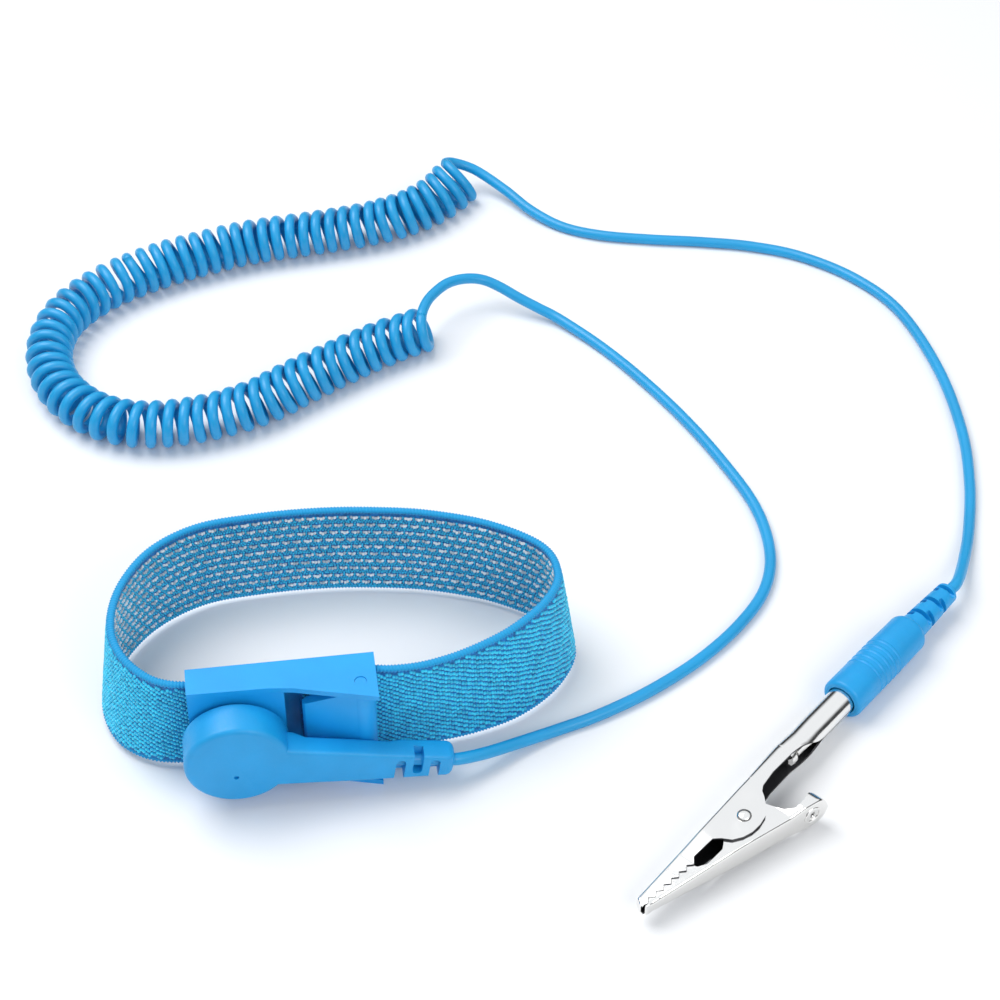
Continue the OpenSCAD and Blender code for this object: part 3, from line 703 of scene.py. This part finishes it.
def plug_lead():
    """Straight cord from the coil's last turn into the plug."""
    end, _ = coil_points(np.array([coil_stop - 30, coil_stop]))
    path = [tuple(p) for p in end]
    path += [(57.2, 158.6, 7.1), (61.9, 157.9, 5.1), (67.6, 152.8, 3.1), (72.7, 146.1, 1.8),
             (78.8, 140.3, cord_r), (86.6, 136.2, cord_r), (97.2, 133.3, cord_r),
             (107.9, 131, cord_r), (118.6, 128, cord_r), (128.8, 123, cord_r),
             (138.6, 114, cord_r), (145.3, 102, cord_r), (148.6, 83, cord_r),
             (148.4, 64, cord_r), (145.9, 49, cord_r), (142.3, 36.5, cord_r),
             (138.6, 27.2, 2.2)]
    path += [plug_point(u) for u in (97.5, 94, 90, 86, 82.2, 80)]
    line = curve(path, 10)
    obj = to_mesh("plug_lead_cord", tube(line, cord_r, 18, first=end[1] - end[0]), [jacket], smooth=60)
    finish_piece(obj, "plug", "cord_jacket", "plug_lead")


coil()
snap_lead()
plug_lead()


# ---- places for turned and extruded shapes ----

def matrix_of(x_axis, y_axis, z_axis, origin):
    """4x4 matrix from three axes and an origin, in millimetres."""
    m = np.eye(4)
    m[:3, 0], m[:3, 1], m[:3, 2], m[:3, 3] = x_axis, y_axis, z_axis, origin
    return m


hc, hs = math.cos(head_droop), math.sin(head_droop)
# local x, y, z of the head
HEAD = matrix_of((hc, 0, -hs), (0, 1, 0), (hs, 0, hc), (0, 0, axis_z))
# local x runs out of the buckle's face along the snap's axis
SNAP = matrix_of((0, -1, 0), (hs, 0, hc), (-hc, 0, hs), (0, 0, axis_z))
pc, ps = math.cos(clip_turn), math.sin(clip_turn)
PLUG = matrix_of((pc, ps, 0), (-ps, pc, 0), (0, 0, 1), (clip_tip[0], clip_tip[1], plug_z))


def arc(cx, cy, r, a0, a1, n):
    """Points on an arc in degrees."""
    return [(cx + r * math.cos(math.radians(a)), cy + r * math.sin(math.radians(a)))
            for a in np.linspace(a0, a1, n)]


# ---- snap head ----

def snap_head():
    """Round head with its neck and strain relief, bored for the cord."""
    rim, shell = 1.0, 1.2
    face = [(head_back, 0.01), (head_back, head_r - 0.3), (head_back + 0.3, head_r)]
    face += arc(head_front - rim, head_r - rim, rim, 90, 0, 7)
    face += [(head_front, 0.01)]
    disc = moved(revolve(face, 96), SNAP)

    # the neck: a rounded bar that narrows towards the cord, as place, half height, back, front
    stations = [(3, 4.65, 8.2, 13.3), (5, 4.6, 8.2, 13.3), (9.2, 4.3, 8.3, 13.3), (11.5, 4.15, 9.3, 13.28),
                (20, 3.65, 9.35, 13.24), (26, 3.15, 9.4, 13.2), (28, 3.02, 8.9, 13.17),
                (36.2, 2.47, 8.7, 13.0), (36.8, 2.3, 8.85, 12.85), (37.2, 1.95, 9.15, 12.5),
                (neck_end, 1.6, 9.4, 12.1)]
    rings = []
    for x, half, back, front in stations:
        outline = rounded_rect((front - back) / 2, half, 0.75, 6)
        rings.append([(x, -(front + back) / 2 + a, neck_z + b) for a, b in outline])
    neck = moved(loft(rings), HEAD)
    body = to_mesh("snap_head", disc, [soft_plastic])
    cut(body, to_mesh("neck", neck, [soft_plastic]), "UNION")

    # inside, for the mould, the resistor and the cord
    room = [(head_back - 1, 0.01), (head_back - 1, head_r - shell),
            (head_front - 1.1, head_r - shell), (head_front - 1.1, 0.01)]
    cut(body, to_mesh("room", moved(revolve(room, 64), SNAP), [soft_plastic]))
    for x0, x1, r in ((0, 20.5, 1.55), (20, neck_end + 1, cord_r + 0.1)):
        bore = revolve([(x0, 0.01), (x0, r), (x1, r), (x1, 0.01)], 32)
        bore = (bore[0] + np.array((0, neck_y, neck_z)), bore[1])
        cut(body, to_mesh("bore", moved(bore, HEAD), [soft_plastic]))
    # the mould's gate mark, below the middle of the face
    gate = revolve([(head_front - 0.5, 0.01), (head_front - 0.5, 0.42), (head_front + 1, 0.5),
                    (head_front + 1, 0.01)], 20)
    gate = (gate[0] + np.array((0, -2.8, 0)), gate[1])
    cut(body, to_mesh("gate", moved(gate, SNAP), [soft_plastic]))

    # windows of the strain relief, open to the bottom edge, then the top edge
    window_width, window_round, window_floor = 1.7, 0.75, 10.6
    # the prism's own axes: x along the neck, y up, z out of the face
    turn = np.eye(4)
    turn[:3, :3] = ((1, 0, 0), (0, 0, -1), (0, 1, 0))
    for x, lo, hi in ((28.0, -6.6, 1.2), (34.0, -6.6, 1.2), (31.0, -2.1, 5.4)):
        hole = rounded_rect(window_width / 2, (hi - lo) / 2, window_round, 5)
        slab = prism(hole + np.array((x, (hi + lo) / 2)), window_floor, head_front + 1)
        cut(body, to_mesh("window", moved(moved(slab, turn), HEAD), [soft_plastic]))
    body.data.polygons.foreach_set("use_smooth", np.ones(len(body.data.polygons), bool))
    body.data.set_sharp_from_angle(angle=math.radians(32))
    finish_piece(body, "cord_head", "blue_rubber", "snap_cover")


snap_head()


# ---- plug grip ----

def plug_grip():
    """Ribbed grip and strain relief, turned, with slots cut from each side in turn."""
    r = 3.95
    ribs, first_rib, rib_pitch = 5, 66.6, 1.55
    slots, first_slot, slot_pitch, bridge = 5, 83, 2.1, 0.75
    side = [(grip_u0 + 1.2, barrel_r + 0.08), (grip_u0, barrel_r + 0.2)]
    side += [(u, q) for u, q in arc(grip_u0 + 0.75, r - 0.75, 0.75, 180, 90, 6)]
    side += [(66.0, r - 0.04)]
    for k in range(ribs):
        u = first_rib + rib_pitch * k
        side += [(u - 0.34, r - 0.12), (u - 0.14, r), (u + 0.14, r), (u + 0.34, r - 0.12)]
    side += [(73.6, r - 0.06), (79.2, r - 0.16)]
    side += arc(grip_u1 - 1.4, r - 1.55, 1.4, 90, 15, 6)
    side += [(grip_u1 + 0.1, 2.62)]
    side += [(grip_u1 + 0.2, 2.6), (relief_u1 - 0.35, 2.08), (relief_u1, 1.8), (relief_u1, cord_r + 0.1)]
    side += [(80.5, cord_r + 0.1), (80.5, 1.5), (76.7, 1.5), (76.7, 2.5), (66.8, 2.5),
             (66.8, barrel_r + 0.08)]
    angle = np.arange(72) * 2 * math.pi / 72
    rings = [[(u, q * math.cos(a), q * math.sin(a)) for a in angle] for u, q in side]
    body = to_mesh("plug_grip_moulding", moved(loft(rings, wrap=True), PLUG), [soft_plastic])
    # slots of the strain relief, in turn from each side, round and across
    for k in range(slots):
        u = first_slot + slot_pitch * k
        lo, hi = (bridge, 3.6) if k % 2 == 0 else (-3.6, -bridge)
        for direction in (0, 90):
            outline = rounded_rect(0.5, (hi - lo) / 2, 0.3, 4) + np.array((u + 0.5, (hi + lo) / 2))
            slab = prism(outline, -4, 4)
            turn = np.array(Matrix.Rotation(math.radians(direction), 4, "X"))
            if direction:
                slab = (slab[0] + np.array((1.05, 0, 0)), slab[1])
            cut(body, to_mesh("slot", moved(moved(slab, turn), PLUG), [soft_plastic]))
    body.data.polygons.foreach_set("use_smooth", np.ones(len(body.data.polygons), bool))
    body.data.set_sharp_from_angle(angle=math.radians(30))
    finish_piece(body, "plug", "blue_rubber", "plug_grip")


plug_grip()


# ---- alligator clip ----

teeth = 6
web_slope = 0.278
web_start = np.array([0.9, -1.62])
pad_u, pad_long, pad_half = 35.2, 2.65, 3.2
wall_steps, corner_steps, spine_steps = 9, 5, 7
seam = 2.0


def tooth_line(gap):
    """Zigzag line where the two jaws meet; gap moves it up or down."""
    k = np.arange(2 * teeth + 1)
    share = k / (2 * teeth)
    return [(1.2 + 10.6 * a, -0.9 - 1.45 * a + (0.38 if b % 2 else -0.38) + gap)
            for a, b in zip(share, k)]


def bent_sheet(half, spine, edge, corner):
    """Half a ring of a folded sheet, from one wall's edge over the spine to the other's."""
    corner = max(0.05, min(corner, 0.97 * half, 0.6 * (spine - edge)))
    wall = np.linspace(edge, spine - corner, wall_steps)
    left = [(-half, v) for v in wall]
    left += arc(-half + corner, spine - corner, corner, 180, 90, corner_steps + 2)[1:-1]
    flat = [(w, spine) for w in np.linspace(-half + corner, half - corner, spine_steps)]
    return np.array(left + flat + [(-w, v) for w, v in reversed(left)])


def rolled_sheet(r, count):
    """The same ring when the sheet is rolled to a barrel with a narrow seam."""
    angle = np.radians(np.linspace(270 - seam, seam - 90, count))
    return np.stack([r * np.cos(angle), r * np.sin(angle)], axis=1)


def folded(name, stations, half, spine, edge, corner, walls=1, rolled_from=None):
    """A jaw bent from sheet: outlines along the clip are lists of (place, value) pairs."""
    rings = []
    for u in stations:
        w, top, low, r = (np.interp(u, *np.array(line).T) for line in (half, spine, edge, corner))
        outer = bent_sheet(w, top * walls, low * walls, r)
        inner = bent_sheet(w - sheet, top * walls - sheet, low * walls, r - sheet)
        if rolled_from is not None:
            m = ease((u - rolled_from) / 7)
            outer = outer * (1 - m) + rolled_sheet(barrel_r, len(outer)) * m
            inner = inner * (1 - m) + rolled_sheet(barrel_r - sheet, len(inner)) * m
        ring = np.concatenate([outer, inner[::-1]])
        rings.append(np.stack([np.full(len(ring), u), ring[:, 1] * walls, ring[:, 0]], axis=1))
    points, faces = loft(rings)
    count = len(rings[0])
    along = np.arange(len(faces)) % count
    # the sheet's inner faces take the near-black nickel, which paints the shade inside the fold
    inside = (along >= count // 2 - 1) & (np.arange(len(faces)) < (len(rings) - 1) * count)
    return to_mesh(name, moved((points, faces), PLUG), [nickel, shaded_nickel], smooth=35,
                   faces_of=inside.astype(int))


def web_v(u):
    """Height of the lower jaw's web."""
    return web_start[1] - web_slope * (u - web_start[0])


def upper_jaw():
    """Jaw with the barrel, given by outlines of place along the clip and value."""
    half = [(0, 1.2), (18, 2.9), (24.5, 3.2), (30, 3.2), (44, 2.75), (51, barrel_r)]
    spine = [(0.3, -0.1), (1, 0.95), (13.8, 0.85), (24, 0.95), (32, 1.2), (41, 2.3), (50, barrel_r)]
    edge = [(0.3, -0.9), (0.6, -0.95)] + tooth_line(0.05)
    edge += [(13, -1.75), (17.7, -2.1), (18.7, -3.2), (19.6, -4.8), (21.2, -5.9), (23, -6.5),
             (25, -6.6), (27.2, -6.2), (29, -5), (30.4, -3.6), (31.2, -2.6), (32.3, -2),
             (35.9, -1.5), (41.8, -1.5), (45.5, -2), (48.5, -barrel_r)]
    stations = np.unique(np.concatenate([np.arange(0.3, 51, 0.25), [u for u, _ in edge],
                                         np.linspace(51, 66.2, 12)]))
    corner = [(0, 0.7), (32, 0.8), (46, 2.5), (51, 2.5)]
    jaw = folded("clip_upper_sheet", stations, half, spine, edge, corner, rolled_from=43.5)
    return finish_piece(jaw, "clip", "nickel", "clip_upper_jaw")


def lower_jaw():
    """Jaw with the thumb pad."""
    half = [(0, 1.15), (18, 2.45), (22, 2.6), (30, 2.6), (33, pad_half)]
    half += [(pad_u + pad_long * math.sin(a), max(0.5, pad_half * math.cos(a)))
             for a in np.linspace(0, math.pi / 2, 12)]
    edge = [(0.6, -1.2)] + tooth_line(-0.05)
    edge += [(11.9, -3.3), (13.4, -4.3), (17.3, -4.5), (18.4, -3.9), (20.5, -2.5), (22, -1.7),
             (27, -1.7), (28.5, -2.6), (29.7, -4.5), (30.6, -7.6), (32, -9.1), (34, -9.2),
             (36.1, -8.8), (37.3, -9.6), (37.9, -11)]
    end = pad_u + pad_long
    spine = [(0.6, web_v(0.6)), (end, web_v(end))]
    stations = np.unique(np.concatenate([np.arange(0.6, pad_u, 0.25), [u for u, _ in edge if u < end],
                                         [u for u, _ in half if u > pad_u]]))
    corner = [(0, 0.55), (end, 0.55)]
    jaw = folded("clip_lower_sheet", stations, half, spine, edge, corner, walls=-1)
    # the thumb pad: a raised ring round a small hole
    k = math.hypot(1, web_slope)
    out = (-web_slope / k, -1 / k, 0)
    along = (1 / k, -web_slope / k, 0)
    pad = matrix_of(out, (0, 0, 1), along, (34.6, web_v(34.6), 0))
    hole = revolve([(-1, 0.01), (-1, 0.5), (1, 0.5), (1, 0.01)], 24)
    cut(jaw, to_mesh("pad_hole", moved(moved(hole, pad), PLUG), [nickel]))
    finish_piece(jaw, "clip_lower", "nickel", "clip_lower_jaw")
    side = [(-0.1, 1.25), (0.12, 1.3), (0.2, 1.45), (0.2, 1.6), (0.12, 1.75), (-0.1, 1.8)]
    angle = np.arange(48) * 2 * math.pi / 48
    rings = [[(x, r * math.cos(a), r * math.sin(a)) for a in angle] for x, r in side]
    ring = to_mesh("pad_ring", moved(moved(loft(rings, wrap=True), pad), PLUG), [nickel])
    finish_piece(ring, "clip_lower", "nickel")


def pivot_rivet():
    """Solid rivet with a dome on each side."""
    grip, dome, head = 3.2, 0.65, 1.3
    side = [(0.01, grip + dome)] + [(head * math.sin(a), grip + dome * math.cos(a))
                                    for a in np.radians((15, 30, 45, 60, 75, 90))]
    side += [(0.9, grip)]
    outline = [(-h, r) for r, h in side] + [(h, r) for r, h in reversed(side)]
    upright = matrix_of((0, 0, 1), (1, 0, 0), (0, 1, 0), (rivet_u, rivet_v, 0))
    rivet = to_mesh("clip_rivet_domed", moved(moved(revolve(outline, 40), upright), PLUG), [nickel])
    finish_piece(rivet, "clip", "nickel", "clip_rivet")


def jaw_spring():
    """Torsion spring round the rivet; its lower leg goes with the lower jaw."""
    r, pitch, first, turns = 1.5, 0.75, 130, 3.43
    helix = [plug_point(rivet_u + r * math.cos(a), rivet_v + r * math.sin(a),
                        (a - math.radians(first)) / (2 * math.pi) * pitch - 1.2)
             for a in np.radians(np.arange(first, first + 360 * turns, 12))]
    leg_up = [plug_point(rivet_u + 11, -0.6, -1.2), plug_point(rivet_u + 8.2, -0.35, -1.2),
              plug_point(rivet_u + 3, 0.1, -1.2)]
    leg_down = [plug_point(rivet_u + 3.4, rivet_v - 3.9, 1.35),
                plug_point(rivet_u + 7.2, rivet_v - 5.4, 1.35),
                plug_point(rivet_u + 9, rivet_v - 6, 1.35)]
    line = curve(leg_up + helix + leg_down, 2)
    spring = to_mesh("jaw_spring_wire", tube(line, 0.28, 10), [steel], smooth=60)
    finish_piece(spring, None, "steel", "clip_spring")
    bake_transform(spring, "clip", "clip_lower", start=tuple(np.array(plug_point(rivet_u, rivet_v - 1.6)) * MM),
             end=tuple(np.array(plug_point(rivet_u, rivet_v - 3.6)) * MM))


upper_jaw()
lower_jaw()
pivot_rivet()
jaw_spring()


# ---- carried-over CAD nodes: finish and softened edges ----

def dress(node, material, bevel=0.0):
    """Gives a CAD node its material and rounds its edges."""
    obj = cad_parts[node]
    obj.data.materials.clear()
    obj.data.materials.append(material)
    obj.data.polygons.foreach_set("use_smooth", np.ones(len(obj.data.polygons), bool))
    if bevel:
        soften(obj, bevel, 2)
    else:
        split = obj.modifiers.new("creases", "EDGE_SPLIT")
        split.split_angle = math.radians(32)


for node, material, bevel in (
        ("buckle_body", buckle_plastic, 0.25), ("buckle_lever", buckle_plastic, 0.2),
        ("contact_plate", steel, 0), ("snap_stud", nickel, 0), ("stud_rivet", nickel, 0),
        ("inner_mould", black_plastic, 0), ("snap_socket", nickel, 0), ("socket_spring", steel, 0),
        ("resistor_body", resistor_coat, 0), ("resistor_bands", resistor_paint, 0),
        ("resistor_leads", tinned, 0), ("heat_shrink", black_plastic, 0),
        ("splice_sleeve", tinned, 0), ("snap_lead_core", copper, 0), ("plug_lead_core", copper, 0),
        ("plug_crimp", tinned, 0), ("plug_pin", nickel, 0), ("plug_spring", nickel, 0)):
    dress(node, material, bevel)


# ---- stage, light and camera ----

def floor():
    """Matt white bench."""
    look = Look("paper", (0.90, 0.905, 0.915), 0.9)
    look.set(Specular_IOR_Level=0.1)
    part = (np.array([(-3000, -3000, 0), (3000, -3000, 0), (3000, 3000, 0), (-3000, 3000, 0)], float),
            [[0, 1, 2, 3]])
    to_mesh("floor", part, [look.material], smooth=0)


def lamp(name, place, aim, size, watts):
    """Soft rectangular lamp; place and aim in millimetres."""
    data = bpy.data.lights.new(name, "AREA")
    data.shape = "RECTANGLE"
    data.size, data.size_y = size[0] * MM, size[1] * MM
    data.energy = watts
    obj = bpy.data.objects.new(name, data)
    obj.location = Vector(place) * MM
    obj.rotation_mode = "QUATERNION"
    obj.rotation_quaternion = (Vector(aim) - Vector(place)).to_track_quat("-Z", "Y")
    bpy.context.scene.collection.objects.link(obj)


def sky():
    """Even studio light from all round."""
    world = bpy.data.worlds.new("studio")
    world.use_nodes = True
    bpy.context.scene.world = world
    tree = world.node_tree
    background = tree.nodes["Background"]
    background.inputs["Color"].default_value = (0.93, 0.96, 1, 1)
    # metal sees a brighter room than the one that lights it, with a dark band low down
    height = tree.nodes.new("ShaderNodeSeparateXYZ")
    tree.links.new(tree.nodes.new("ShaderNodeTexCoord").outputs["Generated"], height.inputs["Vector"])
    room = tree.nodes.new("ShaderNodeValToRGB")
    room.color_ramp.elements[0].position = 0.32
    room.color_ramp.elements[0].color = (0.06, 0.06, 0.06, 1)
    room.color_ramp.elements[1].position = 0.56
    room.color_ramp.elements[1].color = (1.1, 1.1, 1.1, 1)
    tree.links.new(height.outputs["Z"], room.inputs["Fac"])
    pick = tree.nodes.new("ShaderNodeMix")
    pick.data_type = "FLOAT"
    pick.inputs["A"].default_value = 0.55
    tree.links.new(tree.nodes.new("ShaderNodeLightPath").outputs["Is Glossy Ray"], pick.inputs["Factor"])
    tree.links.new(room.outputs["Color"], pick.inputs["B"])
    tree.links.new(pick.outputs["Result"], background.inputs["Strength"])


def camera():
    """Long lens, 44 degrees above the bench and a little from the left."""
    data = bpy.data.cameras.new("camera")
    data.lens = 88.1
    data.sensor_width = 36
    data.clip_start, data.clip_end = 0.01, 20
    obj = bpy.data.objects.new("camera", data)
    look_at = Vector((54.1, 57.3, 0)) * MM
    azimuth, elevation, distance = math.radians(-7.5), math.radians(44), 478 * MM
    back = Vector((math.sin(azimuth) * math.cos(elevation), -math.cos(azimuth) * math.cos(elevation),
                   math.sin(elevation)))
    obj.location = look_at + back * distance
    obj.rotation_mode = "QUATERNION"
    obj.rotation_quaternion = (-back).to_track_quat("-Z", "Y")
    bpy.context.scene.collection.objects.link(obj)
    bpy.context.scene.camera = obj


floor()
lamp("key", (-220, 220, 620), (40, 60, 0), (500, 500), 3.6)
lamp("fill", (300, -420, 380), (60, 40, 0), (400, 300), 1.2)
sky()
camera()
bpy.context.scene.view_settings.view_transform = "Standard"
